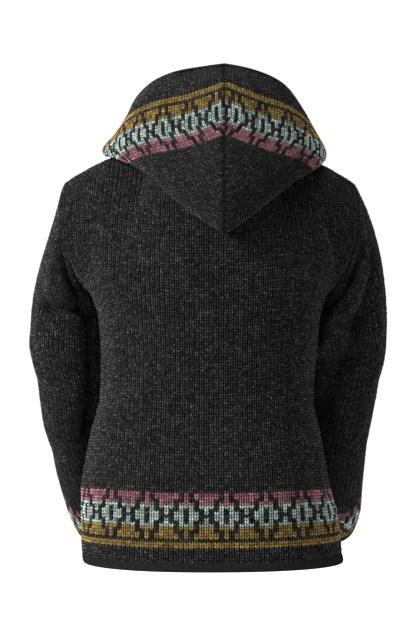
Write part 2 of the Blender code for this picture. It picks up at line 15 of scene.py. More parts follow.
import bmesh
import bpy
import numpy as np
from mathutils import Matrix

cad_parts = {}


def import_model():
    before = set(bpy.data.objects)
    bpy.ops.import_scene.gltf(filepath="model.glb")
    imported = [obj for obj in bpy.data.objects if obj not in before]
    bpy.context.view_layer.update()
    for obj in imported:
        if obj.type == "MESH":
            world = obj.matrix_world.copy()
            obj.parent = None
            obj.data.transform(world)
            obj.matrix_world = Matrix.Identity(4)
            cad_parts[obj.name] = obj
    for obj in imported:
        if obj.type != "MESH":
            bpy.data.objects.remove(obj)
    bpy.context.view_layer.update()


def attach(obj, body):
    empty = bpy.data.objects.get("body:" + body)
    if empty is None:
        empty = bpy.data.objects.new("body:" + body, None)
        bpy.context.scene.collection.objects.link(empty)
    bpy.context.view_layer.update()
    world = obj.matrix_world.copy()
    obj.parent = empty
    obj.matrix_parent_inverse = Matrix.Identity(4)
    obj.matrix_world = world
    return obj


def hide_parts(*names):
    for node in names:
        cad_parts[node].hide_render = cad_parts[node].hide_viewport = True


LOG = logging.getLogger("sweater")

Array = np.ndarray
Table = tuple[tuple, ...]
Colour = tuple[float, float, float]

# Each cell of a solid is split this many times each way in its form
SPLIT = 4
PANEL_COLUMNS = 24 * SPLIT
ROWS_BELOW_ARM = 15 * SPLIT
ROWS_BESIDE_ARM = 12 * SPLIT
CAP_ROWS = 6 * SPLIT
ARM_ROWS = 14 * SPLIT
HOOD_COLUMNS = 12 * SPLIT
HOOD_STEPS = tuple(count * SPLIT for count in (2, 3, 5, 4, 5, 4))
BINDING_ROWS = 8

# Points that agree to this many parts of a metre are the same point of a seam
SEAM_MARKS = 1e5
# Points closer than this are merged, where stitches meet
MERGE_DISTANCE = 2e-5
# Folds fade out over these parts of a piece's length and width before its seams
CREASE_END_PARTS = 8
CREASE_SIDE_PARTS = 10
# Below this, a cosine counts as zero
FLAT = 1e-9
# The least length that a vector is divided by
TINY = 1e-12
MILLIMETRES = 1000


class Yarn(Enum):
    """Colours of wool, by their letter in the chart."""

    CHARCOAL = "."
    ROSE = "P"
    SAGE = "T"
    OCHRE = "O"


class Side(Enum):
    """The two panels of the body."""

    BACK = "back"
    FRONT = "front"


class Hand(Enum):
    """The wearer's left or right."""

    LEFT = "left"
    RIGHT = "right"


# One repeat of the coloured band, with the row nearest to the garment's edge last
BAND_CHART = (
    "P.PPPPP.",
    "P.PPPPP.",
    "P..PPP..",
    "PP.PPP.P",
    "TT.TTT.T",
    ".T..T..T",
    ".TT.T.TT",
    ".TT...TT",
    ".TT.T.TT",
    ".T..T..T",
    "TT.TTT.T",
    "OO.OOO.O",
    "O..OOO..",
    "O.OOOOO.",
    "O.OOOOO.",
    "........",
    "OOOOOOOO",
    "OOOOOOOO",
)

# Creases: piece, start and end as (row share, column share), half-width, rise (+) or trough (-)
CREASES: Table = (
    ("sleeve_left", 0.05, 0.29, 0.22, 0.40, 0.020, -0.0260),
    ("sleeve_left", 0.08, 0.50, 0.24, 0.50, 0.024, 0.0070),
    ("sleeve_left", 0.175, 0.19, 0.165, 0.29, 0.020, 0.0110),
    ("sleeve_left", 0.245, 0.16, 0.225, 0.36, 0.010, -0.0190),
    ("sleeve_left", 0.36, 0.06, 0.35, 0.30, 0.030, 0.0040),
    ("sleeve_left", 0.20, 0.40, 0.60, 0.37, 0.019, -0.0210),
    ("sleeve_left", 0.20, 0.43, 0.56, 0.44, 0.012, 0.0050),
    ("sleeve_left", 0.45, 0.30, 0.52, 0.12, 0.026, -0.0035),
    ("sleeve_left", 0.62, 0.30, 0.70, 0.05, 0.030, -0.0040),
    ("sleeve_left", 0.40, 0.60, 0.46, 0.95, 0.028, -0.0060),
    ("sleeve_left", 0.28, 0.62, 0.31, 0.88, 0.020, -0.0060),
    ("sleeve_right", 0.08, 0.26, 0.17, 0.42, 0.018, -0.0310),
    ("sleeve_right", 0.12, 0.20, 0.26, 0.33, 0.012, 0.0150),
    ("sleeve_right", 0.26, 0.33, 0.435, 0.41, 0.013, 0.0130),
    ("sleeve_right", 0.14, 0.13, 0.285, 0.235, 0.016, -0.0180),
    ("sleeve_right", 0.285, 0.235, 0.42, 0.28, 0.026, -0.0300),
    ("sleeve_right", 0.42, 0.28, 0.55, 0.38, 0.024, -0.0180),
    ("sleeve_right", 0.24, 0.13, 0.50, 0.13, 0.020, 0.0050),
    ("sleeve_right", 0.03, 0.12, 0.13, 0.17, 0.009, -0.0050),
    ("sleeve_right", 0.08, 0.50, 0.24, 0.50, 0.024, 0.0070),
    ("sleeve_right", 0.58, 0.36, 0.64, 0.12, 0.028, -0.0045),
    ("sleeve_right", 0.40, 0.60, 0.46, 0.95, 0.028, -0.0060),
    ("sleeve_right", 0.28, 0.64, 0.32, 0.90, 0.020, -0.0055),
    ("back_panel", 0.76, 0.10, 0.63, 0.05, 0.014, -0.0090),
    ("back_panel", 0.64, 0.86, 0.76, 0.93, 0.030, -0.0045),
    ("back_panel", 0.36, 0.05, 0.44, 0.30, 0.045, -0.0040),
    ("back_panel", 0.34, 0.95, 0.42, 0.74, 0.045, -0.0040),
    ("back_panel", 0.86, 0.20, 0.70, 0.34, 0.040, -0.0035),
    ("back_panel", 0.88, 0.78, 0.72, 0.68, 0.040, -0.0035),
    ("front_panel", 0.36, 0.05, 0.44, 0.30, 0.045, -0.0040),
    ("front_panel", 0.34, 0.95, 0.42, 0.74, 0.045, -0.0040),
    ("front_panel", 0.64, 0.12, 0.78, 0.20, 0.034, -0.0060),
    ("front_panel", 0.64, 0.88, 0.78, 0.80, 0.034, -0.0060),
    ("front_panel", 0.84, 0.30, 0.72, 0.42, 0.040, -0.0040),
)


def hermite(start: Array, end: Array, start_pull: Array, end_pull: Array, share: Array) -> Array:
    """Runs a cubic from start to end, leaving and arriving along the two pulls.

    Args:
        start: Points at share 0.
        end: Points at share 1.
        start_pull: Direction and strength of the curve at its start.
        end_pull: The same at its end.
        share: How far along the curve, from 0 to 1.

    Returns:
        The points of the curve.
    """
    s2 = share * share
    s3 = s2 * share
    line = start * (2 * s3 - 3 * s2 + 1) + end * (3 * s2 - 2 * s3)
    return line + start_pull * (s3 - 2 * s2 + share) + end_pull * (s3 - s2)


def smooth(stations: Array, values: Array, where: Array) -> Array:
    """Runs a smooth curve through a table's values, with no overshoot.

    Args:
        stations: Places of the table's rows, rising.
        values: The value at each place.
        where: Places to read the curve at.

    Returns:
        The value at each of those places.
    """
    xs = np.asarray(stations, dtype=float)
    ys = np.asarray(values, dtype=float)
    step = np.diff(xs)
    rise = np.diff(ys) / step
    product = rise[:-1] * rise[1:]
    total = np.where(product > 0, rise[:-1] + rise[1:], 1.0)
    slope = np.concatenate([[rise[0]], np.where(product > 0, 2 * product / total, 0.0), [rise[-1]]])
    x = np.clip(where, xs[0], xs[-1])
    i = np.clip(np.searchsorted(xs, x) - 1, 0, len(step) - 1)
    share = (x - xs[i]) / step[i]
    return hermite(ys[i], ys[i + 1], slope[i] * step[i], slope[i + 1] * step[i], share)


def column(table: Table, index: int) -> list[float]:
    """Reads one numeric column of a table whose rows start with a name."""
    return [row[index] for row in table]


def compass(azimuth: Array) -> tuple[Array, Array]:
    """Gives the sine and the cosine of an azimuth in degrees."""
    turn = np.radians(azimuth)
    return np.sin(turn), np.cos(turn)


def unit(vectors: Array) -> Array:
    """Scales vectors to length 1."""
    return vectors / np.maximum(np.linalg.norm(vectors, axis=-1, keepdims=True), TINY)


def cell_areas(points: Array) -> Array:
    """Measures the area of every cell of a grid."""
    crossed = np.cross(points[1:, 1:] - points[:-1, :-1], points[1:, :-1] - points[:-1, 1:])
    return np.linalg.norm(crossed, axis=-1) / 2


def arc(points: Array, axis: int) -> Array:
    """Measures the distance along the rows or columns of a grid, from its first point.

    Args:
        points: A grid of points.
        axis: 0 to go along the columns, 1 to go along the rows.

    Returns:
        The distance at each point of the grid.
    """
    steps = np.linalg.norm(np.diff(points, axis=axis), axis=-1)
    start = np.zeros_like(np.take(steps, [0], axis=axis))
    return np.cumsum(np.concatenate([start, steps], axis=axis), axis=axis)


class Form:
    """The close grid of points on the right side of a piece of cloth."""

    def __init__(self, name: str, points: Array, closed: bool = False, mirrored: bool = False) -> None:
        """Takes the grid as rows by columns.

        Args:
            name: Name of the piece.
            points: Points of the right side.
            closed: True where the last column meets the first.
            mirrored: True where the grid is left-handed.
        """
        self.name = name
        self.points = points
        self.closed = closed
        self.mirrored = mirrored
        self.normals = np.zeros_like(points)

    def corner_normals(self) -> Array:
        """Gives each point the sum of its faces' normals, weighted by area."""
        p = self.points
        if self.closed:
            p = np.concatenate([p, p[:, :1]], axis=1)
        across = p[1:, 1:] - p[:-1, :-1]
        other = p[1:, :-1] - p[:-1, 1:]
        face = np.cross(other, across) * (-1 if self.mirrored else 1)
        total = np.zeros_like(p)
        for rows in (slice(0, -1), slice(1, None)):
            for cols in (slice(0, -1), slice(1, None)):
                total[rows, cols] += face
        if self.closed:
            total[:, 0] += total[:, -1]
            total = total[:, :-1]
        return total

    def crease(self) -> None:
        """Presses the piece's folds into its points, fading out before its seams."""
        rows, cols = self.points.shape[:2]
        row_share = np.arange(rows)[:, None] / (rows - 1)
        col_share = np.arange(cols)[None, :] / (cols if self.closed else cols - 1)
        height = np.zeros((rows, cols))
        size = np.linalg.norm(self.points[-1, cols // 2] - self.points[0, cols // 2])
        girth = np.linalg.norm(np.diff(self.points[rows // 2], axis=0), axis=1).sum()
        for name, row0, col0, row1, col1, half_width, rise in CREASES:
            if name != self.name:
                continue
            along = np.array([(row1 - row0) * size, (col1 - col0) * girth])
            dr = (row_share - row0) * size
            middle = (col0 + col1) / 2
            wrapped = (col_share - middle + 0.5) % 1.0 - 0.5 + middle if self.closed else col_share
            dc = (wrapped - col0) * girth
            share = np.clip((dr * along[0] + dc * along[1]) / along.dot(along), 0, 1)
            off = np.hypot(dr - share * along[0], dc - share * along[1]) / half_width
            height += rise * np.exp(-2 * off * off)
        fade = np.minimum(1, CREASE_END_PARTS * np.minimum(row_share, 1 - row_share))
        if not self.closed:
            fade = fade * np.minimum(1, CREASE_SIDE_PARTS * np.minimum(col_share, 1 - col_share))
        self.points = self.points + unit(self.corner_normals()) * (height * fade)[..., None]


def share_normals(forms: list[Form]) -> None:
    """Turns the cloth the same way on both sides of each seam.

    Args:
        forms: Every form of the garment. Their normals are set.
    """
    total: dict[tuple, Array] = {}
    marked = [np.round(form.points * SEAM_MARKS).astype(int).reshape(-1, 3) for form in forms]
    keys = [list(map(tuple, marks)) for marks in marked]
    for form, marks in zip(forms, keys, strict=True):
        for key, value in zip(marks, form.corner_normals().reshape(-1, 3), strict=True):
            total[key] = total.get(key, 0) + value
    for form, marks in zip(forms, keys, strict=True):
        form.normals = unit(np.array([total[key] for key in marks])).reshape(form.points.shape)


@dataclass(frozen=True)
class Neckline:
    """The seam between the body and the hood."""

    half_width: float = 0.085
    back: float = 0.062
    front: float = 0.085
    side_z: float = 0.033
    back_z: float = 0.020
    front_z: float = -0.035
    # Power of the curve from the sides down to the middle
    dip: float = 1.5

    def points(self, azimuth: Array) -> Array:
        """Gives the neckline's points, for azimuths from 0 at centre back."""
        sine, cosine = compass(azimuth)
        y = np.where(cosine > 0, self.back, self.front) * cosine
        y = np.where(np.abs(cosine) < FLAT, 0.0, y)
        low = np.where(cosine > 0, self.back_z, self.front_z)
        z = self.side_z + (low - self.side_z) * np.abs(cosine) ** self.dip
        return np.stack([self.half_width * sine, y, z], axis=-1)


@dataclass(frozen=True)
class Torso:
    """Back and front panels and the hem: sizes, and the forms of their cloth."""

    neckline: Neckline = Neckline()
    hem_z: float = -0.660
    hem_seam_z: float = -0.6460
    underarm_z: float = -0.215
    roundness: float = 2.25
    tip_x: float = 0.240
    tip_z: float = -0.028
    shoulder_crown: float = 0.011
    # Degrees from the centre of a panel to the end of its neckline
    neck_angle: float = 45.0
    # Upwards: height, half-width left and right, depth back and front
    sections: Table = (
        ("hem", -0.6600, 0.2090, 0.2240, 0.143, 0.122),
        ("hem seam", -0.6460, 0.2110, 0.2210, 0.142, 0.121),
        ("band", -0.590, 0.2120, 0.2150, 0.139, 0.118),
        ("band top", -0.540, 0.2120, 0.2020, 0.136, 0.114),
        ("hip", -0.496, 0.2060, 0.1930, 0.130, 0.110),
        ("high hip", -0.444, 0.1960, 0.1840, 0.122, 0.108),
        ("waist", -0.390, 0.1820, 0.1730, 0.117, 0.108),
        ("ribs", -0.312, 0.1790, 0.1790, 0.122, 0.114),
        ("chest", -0.250, 0.1840, 0.1850, 0.128, 0.121),
        ("underarm", -0.215, 0.1960, 0.1960, 0.133, 0.126),
    )
    # From the centre out to the armhole: pulls at the underarm line, then at the top
    back_pulls: Table = (
        ("centre", 0.0, 0.000, 0.030, 0.200, 0.000, -0.185, 0.130),
        ("middle", 0.5, 0.050, 0.055, 0.200, 0.000, -0.220, 0.070),
        ("outer", 0.8, 0.090, 0.105, 0.175, -0.010, -0.215, 0.090),
        ("armhole", 1.0, 0.150, 0.175, 0.120, -0.040, -0.205, 0.110),
    )
    front_pulls: Table = (
        ("centre", 0.0, 0.000, 0.030, 0.190, 0.000, -0.110, 0.140),
        ("middle", 0.5, 0.050, 0.050, 0.200, 0.000, -0.205, 0.070),
        ("outer", 0.8, 0.090, 0.100, 0.175, -0.010, -0.210, 0.090),
        ("armhole", 1.0, 0.150, 0.175, 0.120, -0.040, -0.205, 0.110),
    )

    def ring(self, z: Array, azimuth: Array) -> Array:
        """Gives the body's points at a height.

        Args:
            z: Heights.
            azimuth: Angles from 0 at centre back, towards the wearer's left.

        Returns:
            The points.
        """
        heights = column(self.sections, 1)
        sine, cosine = compass(azimuth)
        left, right, back, front = (smooth(heights, column(self.sections, k), z) for k in (2, 3, 4, 5))
        power = 2.0 / self.roundness
        x = np.where(sine > 0, left, right) * np.sign(sine) * np.abs(sine) ** power
        y = np.where(cosine > 0, back, front) * np.sign(cosine) * np.abs(cosine) ** power
        y = np.where(np.abs(cosine) < FLAT, 0.0, y)
        return np.stack([x, y, z + 0 * x], axis=-1)

    def top(self, azimuth: Array, side: Side) -> Array:
        """Gives a panel's upper edge: the neckline in the middle, then the shoulder seams."""
        turn = 0 if side is Side.BACK else 180
        local = azimuth - turn
        share = np.clip((np.abs(local) - self.neck_angle) / (90 - self.neck_angle), 0, 1)
        neck = self.neckline.points(np.clip(90 / self.neck_angle * local, -90, 90) + turn)
        across = np.sign(compass(azimuth)[0])
        half, side_z = self.neckline.half_width, self.neckline.side_z
        x = across * (half + (self.tip_x - half) * share)
        z = side_z + (self.tip_z - side_z) * share + self.shoulder_crown * np.sin(math.pi * share)
        return np.where((share > 0)[..., None], np.stack([x, 0 * x, z], axis=-1), neck)

    def angles(self, side: Side) -> Array:
        """Gives the azimuths of a panel's columns."""
        first = -90.0 if side is Side.BACK else 90.0
        return first + np.arange(PANEL_COLUMNS + 1) * (180.0 / PANEL_COLUMNS)

    def panel(self, side: Side) -> Form:
        """Shapes the back or the front panel."""
        below = np.arange(ROWS_BELOW_ARM) / ROWS_BELOW_ARM - 1
        beside = np.arange(ROWS_BESIDE_ARM + 1) / ROWS_BESIDE_ARM
        share, azimuth = np.meshgrid(np.concatenate([below, beside]), self.angles(side), indexing="ij")
        height = self.underarm_z - self.hem_seam_z
        low = self.ring(self.underarm_z + height * np.minimum(share, 0), azimuth)
        pulls = self.back_pulls if side is Side.BACK else self.front_pulls
        away = 1.0 if side is Side.BACK else -1.0
        edge = np.abs(azimuth - (0 if side is Side.BACK else 180)) / 90
        out = [smooth(column(pulls, 1), column(pulls, k), edge) for k in range(2, 8)]
        across = np.sign(compass(azimuth)[0])
        start_pull = np.stack([across * out[0], away * out[1], out[2]], axis=-1)
        end_pull = np.stack([across * out[3], away * out[4], out[5]], axis=-1)
        base = self.ring(np.full_like(azimuth, self.underarm_z), azimuth)
        rise = np.clip(share, 0, 1)[..., None]
        high = hermite(base, self.top(azimuth, side), start_pull, end_pull, rise)
        return Form(side.value + "_panel", np.where((share > 0)[..., None], high, low))

    def hem(self, side: Side) -> Form:
        """Shapes the hem binding of one panel, from its seam down to its edge."""
        heights = np.linspace(self.hem_seam_z, self.hem_z, BINDING_ROWS + 1)
        z, azimuth = np.meshgrid(heights, self.angles(side), indexing="ij")
        return Form("hem_binding_" + side.value, self.ring(z, azimuth), False, True)


@dataclass(frozen=True)
class Sleeve:
    """One sleeve and its cuff: sizes, and the forms of their cloth."""

    hand: Hand
    # Downwards: centre (left, right), depth, height, half-width, half-depth
    sections: Table = (
        ("upper arm", 0.2405, 0.2405, -0.034, -0.262, 0.0590, 0.0590),
        ("above elbow", 0.2385, 0.2365, -0.046, -0.312, 0.0615, 0.0570),
        ("elbow", 0.2330, 0.2300, -0.058, -0.360, 0.0580, 0.0550),
        ("below elbow", 0.2350, 0.2290, -0.080, -0.420, 0.0500, 0.0520),
        ("forearm", 0.2290, 0.2265, -0.112, -0.480, 0.0445, 0.0480),
        ("wrist", 0.2190, 0.2265, -0.150, -0.537, 0.0425, 0.0450),
        ("cuff", 0.2090, 0.2280, -0.195, -0.590, 0.0410, 0.0430),
        ("cuff seam", 0.2040, 0.2270, -0.250, -0.617, 0.0400, 0.0420),
        ("cuff end", 0.2030, 0.2265, -0.266, -0.624, 0.0400, 0.0420),
    )
    # How the cloth leaves the armhole, at the shoulder and under the arm
    left_cap_pull: tuple[float, float, float] = (0.21, 0.0, -0.97)
    right_cap_pull: tuple[float, float, float] = (0.50, 0.0, -0.87)
    underarm_pull: tuple[float, float, float] = (0.0, -0.30, -0.95)
    # The sleeve's run is read this share of a station above and below a ring
    look: float = 0.05

    @property
    def sign(self) -> float:
        """Gives +1 for the left sleeve and -1 for the right one."""
        return 1.0 if self.hand is Hand.LEFT else -1.0

    def centre(self, where: float) -> Array:
        """Gives the middle of the sleeve at a station."""
        stations = np.arange(len(self.sections))
        x_column = 1 if self.hand is Hand.LEFT else 2
        parts = [smooth(stations, column(self.sections, k), where) for k in (x_column, 3, 4)]
        return np.array([self.sign * parts[0], parts[1], parts[2]])

    def ring(self, station: float) -> Array:
        """Gives one ring of the sleeve: outer side first, then back, inner side and front."""
        run = unit(self.centre(station + self.look) - self.centre(station - self.look))
        outward = unit(np.array([self.sign, 0.0, 0.0]) - run * (run[0] * self.sign))
        backward = unit(np.cross(run, outward) * -self.sign)
        stations = np.arange(len(self.sections))
        wide, deep = (smooth(stations, column(self.sections, k), station) for k in (5, 6))
        turn = (np.arange(PANEL_COLUMNS) * (2 * math.pi / PANEL_COLUMNS))[:, None]
        return self.centre(station) + np.cos(turn) * outward * wide + np.sin(turn) * backward * deep

    def arm(self, back: Form, front: Form) -> Form:
        """Shapes the sleeve from the armhole to the cuff seam.

        Args:
            back: Form of the back panel, before its creases.
            front: Form of the front panel, before its creases.

        Returns:
            The sleeve's form.
        """
        left = self.hand is Hand.LEFT
        down = back.points[ROWS_BELOW_ARM:, -1 if left else 0][::-1]
        up = front.points[ROWS_BELOW_ARM:, 0 if left else -1]
        loop = np.concatenate([down[:-1], up[:-1]])
        first = self.ring(0.0)
        reach = np.linalg.norm(first - loop, axis=-1, keepdims=True)
        turn = np.arange(PANEL_COLUMNS) * (2 * math.pi / PANEL_COLUMNS)
        outer = ((1 + np.cos(turn)) / 2)[:, None]
        cap_pull = self.left_cap_pull if left else self.right_cap_pull
        pull = outer * np.array(cap_pull) + (1 - outer) * np.array(self.underarm_pull)
        start_pull = reach * pull * np.array([self.sign, 1.0, 1.0])
        end_pull = reach * np.array([0.0, 0.0, -1.0])
        rows = [hermite(loop, first, start_pull, end_pull, i / CAP_ROWS) for i in range(CAP_ROWS)]
        last = len(self.sections) - 2
        rows += [self.ring(last * i / ARM_ROWS) for i in range(ARM_ROWS + 1)]
        return Form("sleeve_" + self.hand.value, np.array(rows), True, not left)

    def cuff(self) -> Form:
        """Shapes the cuff binding, from its seam to its edge."""
        last = len(self.sections) - 2
        rings = [self.ring(last + i / BINDING_ROWS) for i in range(BINDING_ROWS + 1)]
        return Form("cuff_binding_" + self.hand.value, np.array(rings), True, self.hand is Hand.RIGHT)


@dataclass(frozen=True)
class Hood:
    """The lowered hood: sizes, and the forms of its halves and of the rolled face edge."""

    neckline: Neckline = Neckline()
    side_lean: float = -0.025
    stand_lean: float = 0.45
    drop_bulge: float = 0.003
    roll_height: float = 0.0140
    roll_depth: float = 0.0165
    roll_drop: float = 0.0010
    # How strongly the rolled edge turns back into the neck
    roll_turn: float = 0.7
    # Power of the turn from the neckline's directions to the nominal ones
    lean_curve: float = 1.5
    # The seam stands out as a ridge that falls off over this many degrees
    ridge: float = 0.004
    ridge_reach: float = 8.0
    # By azimuth: rise of the stand, then distance from the neck axis and height of the
    # lowest fold, the belly of the slouch, the upper layer and the rolled face edge
    profiles: Table = (
        ("front right", -180, 0.008, 0.100, -0.012, 0.106, 0.002, 0.108, 0.016, 0.104, 0.029),
        ("collar right", -135, 0.015, 0.132, 0.022, 0.144, 0.034, 0.140, 0.052, 0.126, 0.070),
        ("side right", -90, 0.018, 0.189, 0.009, 0.193, 0.022, 0.169, 0.058, 0.146, 0.098),
        ("shoulder right", -65, 0.019, 0.180, -0.012, 0.188, 0.008, 0.158, 0.083, 0.129, 0.125),
        ("blade right", -45, 0.020, 0.166, -0.038, 0.180, -0.010, 0.146, 0.102, 0.112, 0.140),
        ("back right", -24, 0.020, 0.156, -0.078, 0.172, -0.044, 0.130, 0.117, 0.096, 0.150),
        ("centre back", 0, 0.020, 0.162, -0.124, 0.182, -0.080, 0.128, 0.126, 0.086, 0.157),
        ("back left", 24, 0.020, 0.153, -0.078, 0.170, -0.044, 0.125, 0.119, 0.091, 0.152),
        ("blade left", 45, 0.020, 0.154, -0.031, 0.170, -0.004, 0.134, 0.110, 0.100, 0.147),
        ("shoulder left", 65, 0.019, 0.162, -0.001, 0.173, 0.017, 0.144, 0.094, 0.112, 0.135),
        ("side left", 90, 0.018, 0.172, 0.015, 0.178, 0.027, 0.149, 0.058, 0.127, 0.104),
        ("collar left", 135, 0.015, 0.129, 0.022, 0.140, 0.034, 0.136, 0.052, 0.122, 0.070),
        ("front left", 180, 0.008, 0.100, -0.012, 0.106, 0.002, 0.108, 0.016, 0.104, 0.029),
    )

    def knots(self, azimuth: float) -> Array:
        """Gives the hood's profile at an azimuth as distance from the neck axis and height."""
        half = [row for row in self.profiles if row[1] * azimuth >= 0]
        value = [smooth(column(half, 1), column(half, k), azimuth) for k in range(2, 11)]
        ridge = self.ridge * math.exp(-abs(azimuth) / self.ridge_reach)
        for k in (1, 3, 5):
            value[k] = value[k] + ridge
        neck = self.neckline.points(azimuth)
        seam = np.array([math.hypot(neck[0], neck[1]), neck[2]])
        stand = seam + np.array([self.stand_lean * value[0], value[0]])
        fold = np.array(value[1:3])
        drop = (stand + fold) / 2 + self.drop_bulge
        return np.array([seam, stand, drop, fold, value[3:5], value[5:7], value[7:9]])

    def place(self, azimuth: float, profile: Array, lean: Array) -> Array:
        """Stands a profile up at its azimuth, from the neckline's own direction outwards.

        Args:
            azimuth: Nominal azimuth of the profile.
            profile: Distances from the neck axis and heights.
            lean: Share of the nominal azimuth at each point, from 0 at the neckline.

        Returns:
            The points in space.
        """
        neck = self.neckline.points(azimuth)
        nominal = math.radians(azimuth)
        offset = math.remainder(math.atan2(neck[0], neck[1]) - nominal, 2 * math.pi)
        turn = nominal + offset * (1 - lean)
        shift = self.side_lean * lean * max(math.cos(nominal), 0.0)
        x = profile[:, 0] * np.sin(turn) + shift
        return np.stack([x, profile[:, 0] * np.cos(turn), profile[:, 1]], axis=-1)

    def curve(self, knots: Array) -> Array:
        """Runs a curve through knots, spaced by the root of their distance."""
        gaps = np.sqrt(np.linalg.norm(np.diff(knots, axis=0), axis=1))
        rates = np.diff(knots, axis=0) / gaps[:, None]
        share = (gaps[:-1] / (gaps[:-1] + gaps[1:]))[:, None]
        slopes = np.concatenate([rates[:1], rates[:-1] * (1 - share) + rates[1:] * share, rates[-1:]])
        points = []
        for k, count in enumerate(HOOD_STEPS):
            where = (np.arange(count) / count)[:, None]
            pulls = slopes[k] * gaps[k], slopes[k + 1] * gaps[k]
            points.append(hermite(knots[k], knots[k + 1], *pulls, where))
        return np.concatenate(points + [knots[-1:]])

    def half(self, hand: Hand) -> Form:
        """Shapes one half of the hood, from the neck seam to the face edge."""
        first = 0.0 if hand is Hand.LEFT else -180.0
        columns = []
        for azimuth in first + np.arange(HOOD_COLUMNS + 1) * (180.0 / HOOD_COLUMNS):
            profile = self.curve(self.knots(azimuth))
            lean = np.clip(np.arange(len(profile)) / sum(HOOD_STEPS[:3]), 0, 1) ** self.lean_curve
            columns.append(self.place(azimuth, profile, lean))
        return Form("hood_" + hand.value, np.array(columns).transpose(1, 0, 2))

    def roll(self) -> Form:
        """Shapes the binding of the face edge, which rolls in towards the neck."""
        columns = []
        share = np.linspace(0, 1, BINDING_ROWS + 1)[:, None]
        for azimuth in -180.0 + np.arange(2 * HOOD_COLUMNS) * (180.0 / HOOD_COLUMNS):
            edge = self.knots(azimuth)[-2:]
            run = unit(edge[1] - edge[0]) * self.roll_height
            end = edge[1] + np.array([-self.roll_depth, -self.roll_drop])
            pull = np.full(2, -self.roll_turn) * self.roll_height
            profile = hermite(edge[1], end, run, pull, share)
            columns.append(self.place(azimuth, profile, np.ones(len(profile))))
        return Form("hood_binding", np.array(columns).transpose(1, 0, 2), True)


@dataclass(frozen=True)
class Cloth:
    """How a cloth takes the light: its fibres' bump, its roughness and its sheen."""

    bump: float
    bump_height: float
    roughness: float
    sheen: float
    sheen_roughness: float = 0.5


class Shader:
    """A material under construction: its nodes are added and linked in a line each."""

    def __init__(self, name: str) -> None:
        """Starts a material with its shader node."""
        self.material = bpy.data.materials.new(name)
        self.material.use_nodes = True
        self.tree = self.material.node_tree
        self.surface = self.tree.nodes["Principled BSDF"]

    def add(self, kind: str, inputs: dict | None = None, **settings: object) -> bpy.types.Node:
        """Adds a node.

        Args:
            kind: Type of the node, without its ShaderNode prefix.
            inputs: Values or sockets for its inputs, by name or number.
            settings: Values for its own settings.

        Returns:
            The node.
        """
        node = self.tree.nodes.new("ShaderNode" + kind)
        for name, value in settings.items():
            setattr(node, name, value)
        for name, value in (inputs or {}).items():
            if isinstance(value, bpy.types.NodeSocket):
                self.tree.links.new(value, node.inputs[name])
            else:
                node.inputs[name].default_value = value
        return node

    def mix(self, share: object, first: object, second: object, blend: str = "MIX") -> bpy.types.NodeSocket:
        """Mixes two colours.

        Args:
            share: How much of the second colour.
            first: First colour or socket.
            second: Second colour or socket.
            blend: How they are blended.

        Returns:
            The socket of the mixed colour.
        """
        node = self.add("Mix", {0: share, 6: first, 7: second}, data_type="RGBA", blend_type=blend)
        return node.outputs[2]

    def range(
        self, value: object, low: float, high: float, to_low: float = 0.0, to_high: float = 1.0
    ) -> bpy.types.NodeSocket:
        """Maps a value from one range to another, held at its ends."""
        names = {"Value": value, "From Min": low, "From Max": high, "To Min": to_low, "To Max": to_high}
        return self.add("MapRange", names).outputs["Result"]

    def sum(self, first: object, second: object, kind: str = "ADD") -> bpy.types.NodeSocket:
        """Adds two values, or combines them in another way."""
        return self.add("Math", {0: first, 1: second}, operation=kind).outputs["Value"]

    def scaled(self, colour: object, level: bpy.types.NodeSocket) -> bpy.types.NodeSocket:
        """Makes a colour lighter or darker by a level."""
        grey = self.add("CombineColor", {0: level, 1: level, 2: level})
        return self.mix(1.0, colour, grey.outputs["Color"], "MULTIPLY")

    def finish(self, colour: bpy.types.NodeSocket, height: bpy.types.NodeSocket, cloth: Cloth) -> None:
        """Gives the surface its colour, its bump and the dullness of its cloth.

        Args:
            colour: Socket of the colour.
            height: Socket of the height of its fibres.
            cloth: How the cloth takes the light.
        """
        bump = self.add("Bump", {"Height": height, "Strength": cloth.bump, "Distance": cloth.bump_height})
        self.tree.links.new(colour, self.surface.inputs["Base Color"])
        self.tree.links.new(bump.outputs["Normal"], self.surface.inputs["Normal"])
        self.surface.inputs["Roughness"].default_value = cloth.roughness
        self.surface.inputs["Specular IOR Level"].default_value = 0.0
        self.surface.inputs["Sheen Weight"].default_value = cloth.sheen
        self.surface.inputs["Sheen Roughness"].default_value = cloth.sheen_roughness


